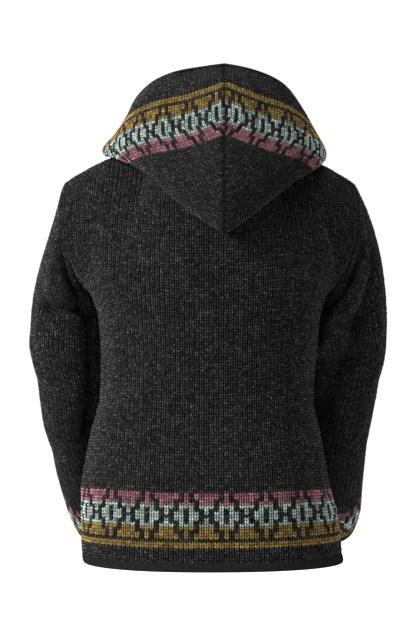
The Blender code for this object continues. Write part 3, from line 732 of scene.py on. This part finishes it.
@dataclass(frozen=True)
class Wool:
    """Thick woollen yarn of one colour, spun from lighter and darker fibres."""

    name: str
    base: Colour
    dark: Colour
    light: Colour
    flecks: float = 0.5
    # How far the legs stray from an even grid, in stitches
    wander: float = 0.35
    # Height that is left in the gap between two wales, which also darkens the colour there as painted shade
    gap_height_and_shade: float = 0.2
    # Fibres run along the stitch, closer across a wale than along it
    fibre_stretch: tuple[float, float, float] = (7.0, 1.3, 1.0)
    fibre_scale: float = 2.4
    fibre_strength: float = 0.75
    fleck_scale: float = 330.0
    cloud_scale: float = 42.0
    # Brightness from the lowest to the highest: of stitches and of clouds at random, and of the relief as
    # painted shade
    stitch_levels: tuple[float, float] = (0.62, 1.38)
    cloud_levels: tuple[float, float] = (0.88, 1.12)
    # Painted shade and light: the colour darkens in the relief's valleys and lightens a little on its crests
    painted_valley_shade_levels: tuple[float, float] = (0.40, 1.10)
    # Painted shade beside the legs of a stitch: the brightness that is left in the gaps between them
    painted_shade_beside_legs: float = 0.16
    cloth: Cloth = Cloth(bump=0.8, bump_height=0.0012, roughness=0.92, sheen=0.01)

    def make(self) -> bpy.types.Material:
        """Builds the material, with painted shade in the valleys of the relief and between the legs of the
        stitches.
        """
        shader = Shader(self.name)
        coords = shader.add("TexCoord")
        stitch = shader.add("VectorMath", {0: coords.outputs["UV"]}, operation="FLOOR")
        tone = shader.add("TexWhiteNoise", {"Vector": stitch.outputs["Vector"]}, noise_dimensions="2D")
        along = shader.add("Mapping", {"Vector": coords.outputs["UV"], "Scale": self.fibre_stretch})
        strands = {"Vector": along.outputs["Vector"], "Scale": self.fibre_scale, "Detail": 4.0}
        fibre = shader.add("TexNoise", strands)
        place = coords.outputs["Object"]
        specks = {"Vector": place, "Scale": self.fleck_scale, "Detail": 3.0, "Roughness": 0.75}
        fleck = shader.add("TexNoise", specks)
        cloud = shader.add("TexNoise", {"Vector": place, "Scale": self.cloud_scale, "Detail": 2.0})
        light = shader.range(fleck.outputs["Fac"], 0.52, 0.66, to_high=self.flecks)
        dark = shader.range(fibre.outputs["Fac"], 0.40, 0.60, self.fibre_strength, 0.0)
        colour = shader.mix(dark, (*self.base, 1.0), (*self.dark, 1.0))
        colour = shader.mix(light, colour, (*self.light, 1.0))
        strength = shader.range(tone.outputs["Value"], 0.0, 1.0, *self.stitch_levels)
        broad = shader.range(cloud.outputs["Fac"], 0.3, 0.7, *self.cloud_levels)
        colour = shader.scaled(shader.scaled(colour, strength), broad)
        # Painted shade: the colour darkens with the relief's valleys and beside the legs of every stitch
        relief = shader.add("Attribute", attribute_name="relief")
        depth = shader.range(relief.outputs["Fac"], -0.9, 0.6, *self.painted_valley_shade_levels)
        legs = self.legs(shader, coords.outputs["UV"])
        shade = shader.sum(depth, shader.range(legs, 0.0, 1.0, self.painted_shade_beside_legs), "MULTIPLY")
        fuzz = shader.sum(fibre.outputs["Fac"], fleck.outputs["Fac"])
        height = shader.sum(fuzz, shader.sum(legs, 2.0, "MULTIPLY"))
        shader.finish(shader.scaled(colour, shade), height, self.cloth)
        return shader.material

    def legs(self, shader: Shader, uv: bpy.types.NodeSocket) -> bpy.types.NodeSocket:
        """Draws the two legs of every stitch as a height, 0 between them and 1 on top; it bumps the surface
        and darkens its colour as painted shade between the legs.

        Args:
            shader: The material under construction.
            uv: Place in wales and rows.

        Returns:
            The socket of the height.
        """
        drift = shader.add("TexNoise", {"Vector": uv, "Scale": 0.8, "Detail": 2.0})
        middle = (0.5, 0.5, 0.5)
        shift = shader.add("VectorMath", {0: drift.outputs["Color"], 1: middle}, operation="SUBTRACT")
        stray = {0: shift.outputs["Vector"], "Scale": self.wander}
        shift = shader.add("VectorMath", stray, operation="SCALE")
        place = shader.add("VectorMath", {0: uv, 1: shift.outputs["Vector"]}, operation="ADD")
        parts = shader.add("SeparateXYZ", {"Vector": place.outputs["Vector"]})
        across = shader.sum(parts.outputs["X"], 0.25, "PINGPONG")
        along = shader.sum(parts.outputs["Y"], 0.5, "PINGPONG")
        across = shader.range(across, 0.0, 0.14)
        along = shader.range(along, 0.0, 0.26)
        # Wales lie a little apart, so the gap beside each is wider than the one in its middle, and darker as
        # painted shade
        wale_border_height_and_shade = shader.range(shader.sum(parts.outputs["X"], 0.5, "PINGPONG"), 0.0, 0.22, self.gap_height_and_shade)
        return shader.sum(shader.sum(across, along, "MULTIPLY"), wale_border_height_and_shade, "MULTIPLY")


@dataclass(frozen=True)
class Jersey:
    """Fine black jersey of the bindings, with courses along the edge."""

    name: str = "black_jersey"
    base: Colour = (0.0022, 0.0022, 0.0024)
    light: Colour = (0.0060, 0.0060, 0.0064)
    # At this scale a course is about a millimetre wide
    course_scale: float = 0.32
    fuzz_scale: float = 900.0
    cloth: Cloth = Cloth(bump=0.5, bump_height=0.0004, roughness=0.9, sheen=0.003)

    def make(self) -> bpy.types.Material:
        """Builds the material."""
        shader = Shader(self.name)
        coords = shader.add("TexCoord")
        waves = {"Vector": coords.outputs["UV"], "Scale": self.course_scale, "Distortion": 0.4}
        ribs = shader.add("TexWave", waves | {"Detail Scale": 1.0}, bands_direction="Y")
        place = coords.outputs["Object"]
        fuzz = shader.add("TexNoise", {"Vector": place, "Scale": self.fuzz_scale, "Detail": 2.0})
        share = shader.range(fuzz.outputs["Fac"], 0.4, 0.65)
        colour = shader.mix(share, (*self.base, 1.0), (*self.light, 1.0))
        height = shader.sum(ribs.outputs["Fac"], fuzz.outputs["Fac"])
        shader.finish(colour, height, self.cloth)
        return shader.material


WOOLS = {
    Yarn.CHARCOAL: Wool(
        "charcoal_wool", (0.0085, 0.0085, 0.0090), (0.0020, 0.0020, 0.0022), (0.068, 0.068, 0.066), 0.55
    ),
    Yarn.ROSE: Wool("rose_wool", (0.125, 0.048, 0.064), (0.040, 0.017, 0.024), (0.290, 0.150, 0.180)),
    Yarn.SAGE: Wool("sage_wool", (0.145, 0.185, 0.170), (0.052, 0.068, 0.062), (0.330, 0.390, 0.360)),
    Yarn.OCHRE: Wool("ochre_wool", (0.105, 0.070, 0.018), (0.040, 0.028, 0.008), (0.220, 0.165, 0.062)),
}


@dataclass(frozen=True)
class Knitting:
    """How a piece is knitted over its form: sizes of its stitches and place of the chart."""

    wale: float = 0.0081
    row: float = 0.0053
    wale_give: float = 0.25
    row_give: float = 0.5
    # Chart column of the stitch on the +X side of the centre line, and plain rows at the edge
    first_wale: int = 4
    plain_rows: int = 3
    # How fast the seam of the hood eats wales, in metres across for each metre of depth
    drift: float = 0.0
    drift_start: float = 0.0
    # Extra plain cloth between the edge and the band, away from the hood's seam
    sweep: float = 0.0
    sweep_reach: float = 0.055
    # A stitch narrower than this share joins its neighbour at a seam
    least: float = 0.4
    # A stitch with less than this share of its area is left out
    least_area: float = 0.06
    # Height of the relief as a share of a wale's width
    relief_share: float = 0.21
    # How far the legs of a stitch slant, in rows
    zigzag: float = 0.42
    # Depth of the cloth where it is sewn
    groove: float = 0.0008
    unevenness: float = 0.16
    wall: float = 0.0036
    seed: int = 7


class KnitPiece:
    """A piece of stocking stitch knitted over a form."""

    FINE_COLUMNS = 4
    FINE_ROWS = 2
    # Relief across a stitch and along it, and the way that its two legs slant
    CREST = np.array([-0.80, 1.0, -0.45, 1.0])
    SWELL = np.array([0.40, 1.0])
    SLANT = np.array([1.0, 0.0, -1.0, 0.0])

    def __init__(self, form: Form, knitting: Knitting, centre: int) -> None:
        """Lays rows and wales over a form.

        Args:
            form: The form, with its first row at the garment's edge.
            knitting: Sizes of the stitches.
            centre: Column of the form that the wales are counted from.
        """
        self.form = form
        self.knitting = knitting
        self.centre = centre
        self.lines = self.lay_rows()
        self.corners, self.first = self.lay_wales()

    def lay_rows(self) -> Array:
        """Lays the lines between rows of stitches, at even distances from the edge."""
        knitting, form = self.knitting, self.form
        grid = np.concatenate([form.points, form.normals], axis=2)
        depth = arc(form.points, 0)
        length = depth[-1]
        pitch = knitting.row * (length / length.max()) ** knitting.row_give
        edge = arc(form.points[:1], 1)[0]
        away = np.abs(edge - edge[self.centre])
        sweep = knitting.sweep * (1 - np.exp(-away / knitting.sweep_reach))
        self.short_rows = math.ceil(knitting.sweep / knitting.row)
        count = math.ceil(max((length - sweep) / pitch))
        numbers = np.arange(-self.short_rows, count + 1)
        lines = np.empty((numbers.size, grid.shape[1], 6))
        for j in range(grid.shape[1]):
            where = numbers * pitch[j] + sweep[j]
            where[where < knitting.least * pitch[j]] = 0
            where[where > length[j] - knitting.least * pitch[j]] = length[j]
            for k in range(6):
                lines[:, j, k] = np.interp(where, depth[:, j], grid[:, j, k])
        return lines

    def lay_wales(self) -> tuple[Array, int]:
        """Marks the corners of every stitch on the row lines.

        Returns:
            Points and normals of the corners, and the number of the first wale.
        """
        knitting, lines = self.knitting, self.lines
        across = arc(lines[..., :3], 1)
        across = across - across[:, self.centre : self.centre + 1]
        low, high = across[:, :1], across[:, -1:]
        girth = high - low
        pitch = knitting.wale * (girth / girth[0]) ** knitting.wale_give
        first = math.floor((low / pitch).min())
        last = math.ceil((high / pitch).max())
        depth = arc(lines[:, self.centre][:, :3][:, None], 0)
        eaten = knitting.drift * np.maximum(depth - knitting.drift_start, 0)
        more = math.ceil(eaten.max() / knitting.wale)
        first -= more if first < 0 else 0
        last += more if last > 0 else 0
        numbers = np.arange(first, last + 1)[None, :]
        where = np.sign(numbers) * np.maximum(np.abs(numbers) * pitch - eaten, 0)
        if knitting.drift:
            where = np.where(np.abs(where) < knitting.least * pitch, 0, where)
        where = np.where(where > high - knitting.least * pitch, high, where)
        where = np.where(where < low + knitting.least * pitch, low, where)
        corners = np.empty((len(lines), numbers.size, 6))
        for r in range(len(lines)):
            for k in range(6):
                corners[r, :, k] = np.interp(where[r], across[r], lines[r, :, k])
        corners[..., 3:] = unit(corners[..., 3:])
        return corners, first

    def kept(self) -> Array:
        """Tells which stitches have room, and aren't squeezed out at a seam."""
        whole = self.knitting.wale * self.knitting.row
        return cell_areas(self.corners[..., :3]) > self.knitting.least_area * whole

    @staticmethod
    def refine(grid: Array, factor: int, axis: int) -> Array:
        """Splits the cells of a grid evenly along one axis.

        Args:
            grid: Values at the corners.
            factor: Number of parts.
            axis: 0 or 1.

        Returns:
            Values at the finer corners.
        """
        count = grid.shape[axis] - 1
        place = np.arange(count * factor + 1) / factor
        low = np.minimum(place.astype(int), count - 1)
        share = (place - low).reshape([-1 if k == axis else 1 for k in range(grid.ndim)])
        return np.take(grid, low, axis) * (1 - share) + np.take(grid, low + 1, axis) * share

    def stitches(self, keep: Array) -> Array:
        """Gives the points of the right side, four by two to a stitch, with their relief.

        Args:
            keep: Which stitches are there.

        Returns:
            The grid of points.
        """
        knitting, corners = self.knitting, self.corners
        relief = knitting.relief_share * knitting.wale
        padded = np.pad(keep, 1)
        inside = padded[1:, 1:] & padded[:-1, 1:] & padded[1:, :-1] & padded[:-1, :-1]
        upward = np.gradient(corners[..., :3], axis=0)
        stack = np.concatenate([corners, upward, inside[..., None].astype(float)], axis=2)
        fine = self.refine(self.refine(stack, self.FINE_ROWS, 0), self.FINE_COLUMNS, 1)
        rows, cols = fine.shape[:2]
        crest = self.CREST[np.arange(cols) % self.FINE_COLUMNS]
        swell = self.SWELL[np.arange(rows) % self.FINE_ROWS]
        shape = np.where(crest > 0, crest * swell[:, None], crest)
        rng = np.random.default_rng(knitting.seed)
        shape = shape + rng.normal(0, knitting.unevenness, (rows, cols)) * (crest > 0)
        fade = fine[..., 9:10]
        height = shape[..., None] * relief * fade - knitting.groove * (1 - fade)
        self.height = np.clip(height[..., 0] / relief, -1, 1)
        slant = self.SLANT[np.arange(cols) % self.FINE_COLUMNS][None, :, None]
        points = fine[..., :3] + unit(fine[..., 3:6]) * height
        return points + fine[..., 6:9] * slant * knitting.zigzag * fade

    def yarns(self) -> Array:
        """Reads the colour of every stitch from the chart, as numbers of the yarns."""
        rows, wales = self.corners.shape[0] - 1, self.corners.shape[1] - 1
        letters = [yarn.value for yarn in Yarn]
        chart = np.array([[letters.index(letter) for letter in line] for line in BAND_CHART[::-1]])
        number = (np.arange(wales) + self.first + self.knitting.first_wale) % chart.shape[1]
        found = np.zeros((rows, wales), dtype=int)
        start = self.knitting.plain_rows + self.short_rows
        stop = min(start + len(chart), rows)
        found[start:stop] = chart[: stop - start][:, number]
        return found

    @staticmethod
    def quads(number: Array) -> Array:
        """Lists the faces of a grid, anticlockwise with columns to the right."""
        return np.stack([number[:-1, :-1], number[:-1, 1:], number[1:, 1:], number[1:, :-1]], axis=-1)

    @staticmethod
    def stitch_places(grid: Array, wide: int, high: int) -> Array:
        """Gives the place of each point of a grid in wales and rows.

        Args:
            grid: The points.
            wide: Columns of points to a wale.
            high: Rows of points to a row of stitches.

        Returns:
            The places, in the order of the points.
        """
        across, along = np.meshgrid(np.arange(grid.shape[1]) / wide, np.arange(grid.shape[0]) / high)
        return np.stack([across, along], -1).reshape(-1, 2)

    def build(self) -> bpy.types.Object:
        """Builds the piece as a closed shell: knitted outside, plain inside, with rims between."""
        keep = self.kept()
        outer = self.stitches(keep)
        inner = self.corners[..., :3] - self.corners[..., 3:] * self.knitting.wall
        wide, high = self.FINE_COLUMNS, self.FINE_ROWS
        fine_number = np.arange(outer.shape[0] * outer.shape[1]).reshape(outer.shape[:2])
        inner_number = fine_number.size + np.arange(inner.shape[0] * inner.shape[1]).reshape(inner.shape[:2])
        place = np.concatenate([outer.reshape(-1, 3), inner.reshape(-1, 3)])
        uv = np.concatenate([self.stitch_places(outer, wide, high), self.stitch_places(inner, 1, 1)])
        yarn = self.yarns()
        mask = np.repeat(np.repeat(keep, high, 0), wide, 1)
        fine_yarn = np.repeat(np.repeat(yarn, high, 0), wide, 1)[mask]
        faces = self.quads(fine_number)[mask].tolist()
        faces += self.quads(inner_number)[keep][:, ::-1].tolist()
        slots = fine_yarn.tolist() + [0] * int(keep.sum())
        rims = self.rims(keep, fine_number, inner_number)
        faces += rims
        slots += [0] * len(rims)
        p, n = self.corners[..., :3], self.corners[..., 3:]
        turn = np.cross(p[:-1, 1:] - p[:-1, :-1], p[1:, :-1] - p[:-1, :-1])
        if (turn * n[:-1, :-1]).sum() < 0:
            faces = [face[::-1] for face in faces]
        depth = np.concatenate([self.height.ravel(), np.zeros(inner.shape[0] * inner.shape[1])])
        return self.mesh(place, uv, depth, faces, slots)

    def rims(self, keep: Array, fine: Array, inner: Array) -> list[list[int]]:
        """Lists the faces that join the right and the wrong side round the piece.

        Args:
            keep: Which stitches are there.
            fine: Numbers of the points of the right side.
            inner: Numbers of the points of the wrong side.

        Returns:
            The faces.
        """
        wide, high = self.FINE_COLUMNS, self.FINE_ROWS
        around = np.pad(keep, 1)
        if self.form.closed:
            around[1:-1, 0], around[1:-1, -1] = keep[:, -1], keep[:, 0]
        faces = []
        for r, k in np.argwhere(keep):
            i, j = r * high, k * wide
            if not around[r, k + 1]:
                faces.append([*fine[i, j : j + wide + 1][::-1], inner[r, k], inner[r, k + 1]])
            if not around[r + 2, k + 1]:
                faces.append([*fine[i + high, j : j + wide + 1], inner[r + 1, k + 1], inner[r + 1, k]])
            if not around[r + 1, k]:
                faces.append([*fine[i : i + high + 1, j], inner[r + 1, k], inner[r, k]])
            if not around[r + 1, k + 2]:
                faces.append([*fine[i : i + high + 1, j + wide][::-1], inner[r, k + 1], inner[r + 1, k + 1]])
        return [[int(v) for v in face] for face in faces]

    def mesh(self, place: Array, uv: Array, depth: Array, faces: list, slots: list) -> bpy.types.Object:
        """Makes the object from its points and faces, and closes it at its seams.

        Args:
            place: Points.
            uv: Place in wales and rows of each point.
            depth: Height in the relief of each point, from -1 to 1.
            faces: Faces as lists of points.
            slots: Material of each face.

        Returns:
            The object.
        """
        mesh = bpy.data.meshes.new(self.form.name + "_knit")
        mesh.from_pydata(place.tolist(), [], faces)
        mesh.polygons.foreach_set("material_index", slots)
        layer = mesh.uv_layers.new(name="stitches")
        corner = np.empty(len(mesh.loops), dtype=np.int32)
        mesh.loops.foreach_get("vertex_index", corner)
        layer.uv.foreach_set("vector", uv[corner].astype(np.float32).ravel())
        relief = mesh.attributes.new("relief", "FLOAT", "POINT")
        relief.data.foreach_set("value", depth.astype(np.float32))
        work = bmesh.new()
        work.from_mesh(mesh)
        bmesh.ops.remove_doubles(work, verts=work.verts, dist=MERGE_DISTANCE)
        bmesh.ops.delete(work, geom=[v for v in work.verts if not v.link_faces], context="VERTS")
        work.to_mesh(mesh)
        work.free()
        mesh.shade_smooth()
        return placed(mesh)


def placed(data: bpy.types.ID) -> bpy.types.Object:
    """Places a mesh, a light or a camera in the scene under its own name."""
    obj = bpy.data.objects.new(data.name, data)
    bpy.context.scene.collection.objects.link(obj)
    return obj


def turned(form: Form) -> Form:
    """Turns a form over, so that its last row comes first."""
    other = Form(form.name, form.points[::-1], form.closed, not form.mirrored)
    other.normals = form.normals[::-1]
    return other


def opened(form: Form) -> Form:
    """Opens a tube at the line opposite its first column, which becomes the middle one."""
    half = form.points.shape[1] // 2
    order = np.concatenate([np.arange(half, 2 * half), np.arange(half + 1)])
    other = Form(form.name, form.points[:, order], True, form.mirrored)
    other.normals = form.normals[:, order]
    return other


@dataclass(frozen=True)
class Binding:
    """A soft band of jersey folded over an edge, a flattened tube round its form."""

    wall: float = 0.0046
    bulge: float = 0.0011
    corners: int = 20
    # How far the band reaches under the knit at its seam
    tuck: float = 0.0007
    # Below 1, the band's section is squarer than an ellipse
    squareness_along: float = 0.75
    squareness_out: float = 0.7
    # Width of the band on its UV map, in millimetres
    map_width: float = 17.5

    def build(self, form: Form) -> bpy.types.Object:
        """Builds the band over its form, whose first row is at the seam.

        Args:
            form: The form, with normals.

        Returns:
            The object.
        """
        depth = arc(form.points, 0)
        angle = np.arange(self.corners) * (2 * math.pi / self.corners)
        sine, cosine = np.sin(angle), np.cos(angle)
        along = 0.5 - 0.5 * np.sign(cosine) * np.abs(cosine) ** self.squareness_along
        half = (self.wall + self.bulge) / 2
        out = self.bulge - half + half * np.sign(sine) * np.abs(sine) ** self.squareness_out
        cols = form.points.shape[1]
        rings = np.empty((self.corners, cols, 3))
        for j in range(cols):
            where = along * depth[-1, j]
            run = unit(form.points[1, j] - form.points[0, j])
            for k in range(3):
                spot = np.interp(where, depth[:, j], form.points[:, j, k])
                away = np.interp(where, depth[:, j], form.normals[:, j, k])
                rings[:, j, k] = spot + away * out - run[k] * self.tuck * (1 - along)
        number = np.arange(self.corners * cols).reshape(self.corners, cols)
        faces = []
        for a in range(self.corners):
            b = (a + 1) % self.corners
            for j in range(cols if form.closed else cols - 1):
                k = (j + 1) % cols
                faces.append([int(number[a, j]), int(number[b, j]), int(number[b, k]), int(number[a, k])])
        if not form.closed:
            faces += [number[::-1, 0].tolist(), number[:, -1].tolist()]
        mesh = bpy.data.meshes.new(form.name + "_jersey")
        mesh.from_pydata(rings.reshape(-1, 3).tolist(), [], faces)
        length = arc(form.points[:1], 1)[0] * MILLIMETRES
        layer = mesh.uv_layers.new(name="courses")
        for loop, spot in zip(mesh.loops, layer.uv, strict=True):
            a, j = divmod(loop.vertex_index, cols)
            spot.vector = (length[j], along[a] * self.map_width)
        work = bmesh.new()
        work.from_mesh(mesh)
        bmesh.ops.recalc_face_normals(work, faces=work.faces)
        work.to_mesh(mesh)
        work.free()
        mesh.shade_smooth()
        return placed(mesh)


@dataclass
class Sweater:
    """The whole garment: forms of all pieces, then their knitted and bound cloth."""

    torso: Torso = field(default_factory=Torso)
    hood: Hood = field(default_factory=Hood)
    materials: dict[Yarn, bpy.types.Material] = field(default_factory=dict)
    jersey: bpy.types.Material | None = None
    forms: dict[str, Form] = field(default_factory=dict)

    def shape(self) -> None:
        """Shapes the forms of all pieces and turns their seams together."""
        back, front = self.torso.panel(Side.BACK), self.torso.panel(Side.FRONT)
        forms = [back, front]
        for hand in Hand:
            sleeve = Sleeve(hand)
            forms += [sleeve.arm(back, front), sleeve.cuff(), self.hood.half(hand)]
        forms += [self.hood.roll(), self.torso.hem(Side.BACK), self.torso.hem(Side.FRONT)]
        for form in forms:
            form.crease()
        share_normals(forms)
        self.forms = {form.name: form for form in forms}

    def dress(self) -> None:
        """Makes the yarns and the jersey."""
        self.materials = {yarn: wool.make() for yarn, wool in WOOLS.items()}
        self.jersey = Jersey().make()

    def declare(self, obj: bpy.types.Object, form: Form) -> None:
        """Ties a piece to the frame and hides the solid of its form.

        Args:
            obj: The piece.
            form: The form it follows.
        """
        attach(obj, "root")
        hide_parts(form.name)
        area = float(cell_areas(form.points).sum())

    def knit(self, form: Form, knitting: Knitting, centre: int) -> None:
        """Knits one piece and dresses it.

        Args:
            form: Form with its first row at the garment's edge.
            knitting: Sizes of its stitches.
            centre: Column that the wales are counted from.
        """
        obj = KnitPiece(form, knitting, centre).build()
        for yarn in Yarn:
            obj.data.materials.append(self.materials[yarn])
        self.declare(obj, form)

    def bind(self, form: Form) -> None:
        """Binds one edge with jersey."""
        obj = Binding().build(form)
        obj.data.materials.append(self.jersey)
        self.declare(obj, form)

    def make(self) -> None:
        """Makes every piece in the order that it is sewn."""
        middle = PANEL_COLUMNS // 2
        body = {"plain_rows": 5, "row": 0.0050}
        self.knit(self.forms["back_panel"], Knitting(seed=1, **body), middle)
        self.knit(self.forms["front_panel"], Knitting(seed=2, **body), middle)
        self.knit(opened(turned(self.forms["sleeve_left"])), Knitting(seed=3), middle)
        self.knit(opened(turned(self.forms["sleeve_right"])), Knitting(seed=4), middle)
        hood = {"plain_rows": 11, "drift": 0.55, "drift_start": 0.12, "row_give": 0.0, "wale_give": 0.0}
        hood |= {"wale": 0.0058, "row": 0.0053, "sweep": 0.010, "groove": 0.0040}
        self.knit(turned(self.forms["hood_left"]), Knitting(seed=5, first_wale=6, **hood), 0)
        self.knit(turned(self.forms["hood_right"]), Knitting(seed=6, first_wale=4, **hood), HOOD_COLUMNS)
        for place in ("hood", "hem", "cuff"):
            for form in self.forms.values():
                if form.name.startswith(place + "_binding"):
                    self.bind(form)


@dataclass(frozen=True)
class Studio:
    """Plain pale floor and backdrop, soft lights and the photograph's camera."""

    camera_place: tuple[float, float, float] = (0.00167, 3.0, -0.245)
    sensor: float = 36.0
    lens: float = 1796.0 * 36.0 / 416.0
    floor_z: float = -1.3
    floor_size: float = 60.0
    floor_white: Colour = (0.96, 0.96, 0.96)
    floor_roughness: float = 0.9
    daylight: float = 1.08
    # The lights are turned to this place, the middle of the sweater
    middle: tuple[float, float, float] = (0.0, 0.0, -0.28)
    # Where each light hangs, its side in metres and its power in watts
    lights: Table = (
        ("key", (2.6, 1.7, 1.3), 0.9, 610.0),
        ("fill", (-2.7, 0.7, 0.4), 1.2, 45.0),
        ("top", (-0.3, 0.9, 2.4), 1.2, 115.0),
        ("front", (1.8, -2.6, 0.8), 1.5, 190.0),
    )

    def camera(self) -> None:
        """Sets up the camera, level and looking along -Y."""
        data = bpy.data.cameras.new("photo_camera")
        data.sensor_fit = "HORIZONTAL"
        data.sensor_width = self.sensor
        data.lens = self.lens
        obj = placed(data)
        obj.location = self.camera_place
        obj.rotation_euler = (math.radians(90), 0.0, math.radians(180))
        bpy.context.scene.camera = obj

    def floor(self) -> None:
        """Lays the floor."""
        bpy.ops.object.select_all(action="DESELECT")
        bpy.ops.mesh.primitive_plane_add(size=self.floor_size, location=(0.0, 0.0, self.floor_z))
        obj = bpy.context.object
        obj.name = "studio_floor"
        shader = Shader("studio_white")
        shader.surface.inputs["Base Color"].default_value = (*self.floor_white, 1.0)
        shader.surface.inputs["Roughness"].default_value = self.floor_roughness
        obj.data.materials.append(shader.material)

    def light(self, name: str, place: tuple[float, float, float], size: float, power: float) -> None:
        """Hangs one square soft light, turned to the sweater.

        Args:
            name: Name of the light.
            place: Where it hangs.
            size: Its side in metres.
            power: Its power in watts.
        """
        data = bpy.data.lights.new(name, "AREA")
        data.size = size
        data.energy = power
        obj = placed(data)
        obj.location = place
        away = np.array(place) - np.array(self.middle)
        turn = math.atan2(away[1], away[0]) + math.pi / 2
        tilt = math.acos(away[2] / np.linalg.norm(away))
        obj.rotation_euler = (tilt, 0.0, turn)

    def build(self) -> None:
        """Sets up the whole studio."""
        self.camera()
        self.floor()
        for name, place, size, power in self.lights:
            self.light(name, place, size, power)
        world = bpy.data.worlds.new("studio")
        world.use_nodes = True
        backdrop = world.node_tree.nodes["Background"]
        backdrop.inputs["Color"].default_value = (1.0, 1.0, 1.0, 1.0)
        backdrop.inputs["Strength"].default_value = self.daylight
        bpy.context.scene.world = world
        bpy.context.scene.view_settings.view_transform = "Standard"


def main() -> None:
    """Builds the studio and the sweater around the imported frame."""
    logging.basicConfig(level=logging.INFO, format="%(message)s", stream=sys.stdout)
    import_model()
    Studio().build()
    sweater = Sweater()
    sweater.shape()
    sweater.dress()
    sweater.make()
    bpy.context.view_layer.update()


if __name__ == "__main__":
    main()
